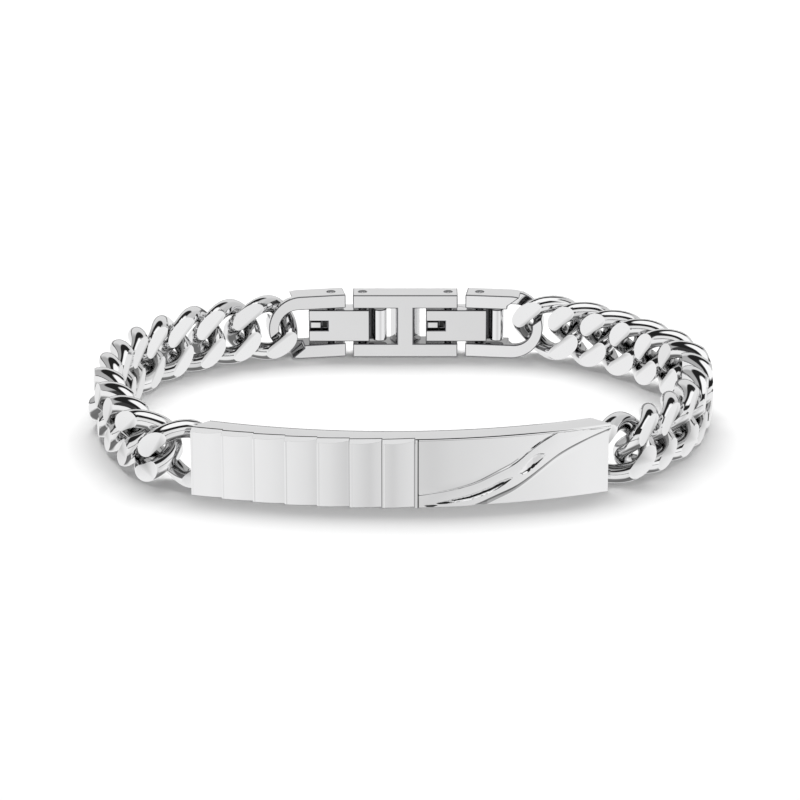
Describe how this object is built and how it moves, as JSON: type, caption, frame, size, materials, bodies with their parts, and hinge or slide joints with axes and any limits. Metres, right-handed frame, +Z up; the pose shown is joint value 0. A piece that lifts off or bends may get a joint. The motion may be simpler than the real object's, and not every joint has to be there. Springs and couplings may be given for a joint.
{
  "type": "id bracelet",
  "caption": "Closed identity bracelet in polished steel: a curved plate with stepped relief, twisted curb links on both sides and a hinged snap clasp at the back, resting on its lower edge.",
  "frame": {"origin": "on the resting surface, under the middle of the bracelet's bounding box", "axes": "+Z up from the resting surface, -Y towards the front of the identity plate, +Y towards the clasp, +X to the plate's right as seen from the front"},
  "size_m": [0.0807, 0.0594, 0.009],
  "materials": {
    "polished_steel": "polished stainless steel with fine wear"
  },
  "bodies": {
    "band": {"id_plate": "polished_steel", "left_link_1": "polished_steel", "left_link_2": "polished_steel", "left_link_3": "polished_steel", "left_link_4": "polished_steel", "left_link_5": "polished_steel", "left_link_6": "polished_steel", "left_link_7": "polished_steel", "left_link_8": "polished_steel", "left_link_9": "polished_steel", "left_link_10": "polished_steel", "left_link_11": "polished_steel", "right_link_1": "polished_steel", "right_link_2": "polished_steel", "right_link_3": "polished_steel", "right_link_4": "polished_steel", "right_link_5": "polished_steel", "right_link_6": "polished_steel", "right_link_7": "polished_steel", "right_link_8": "polished_steel", "right_link_9": "polished_steel", "right_link_10": "polished_steel", "right_link_11": "polished_steel", "left_end_link": "polished_steel", "right_end_link": "polished_steel", "left_end_pin": "polished_steel", "right_end_pin": "polished_steel"},
    "right_tongue": {"right_tongue": "polished_steel"},
    "middle_link": {"middle_link": "polished_steel", "left_middle_pin": "polished_steel", "right_middle_pin": "polished_steel"},
    "left_tongue": {"left_tongue": "polished_steel"}
  },
  "joints": [
    {"name": "right_end_hinge", "type": "hinge", "parent": "band", "child": "right_tongue", "pos_m": [0.01069, 0.02779, 0.0045], "axis": [0, 0, 1], "range_deg": [0, 45]},
    {"name": "right_middle_hinge", "type": "hinge", "parent": "right_tongue", "child": "middle_link", "pos_m": [0.00637, 0.02779, 0.0045], "axis": [0, 0, 1], "range_deg": [0, 45]},
    {"name": "left_middle_hinge", "type": "hinge", "parent": "middle_link", "child": "left_tongue", "pos_m": [-0.00533, 0.02779, 0.0045], "axis": [0, 0, 1], "range_deg": [0, 90]}
  ]
}
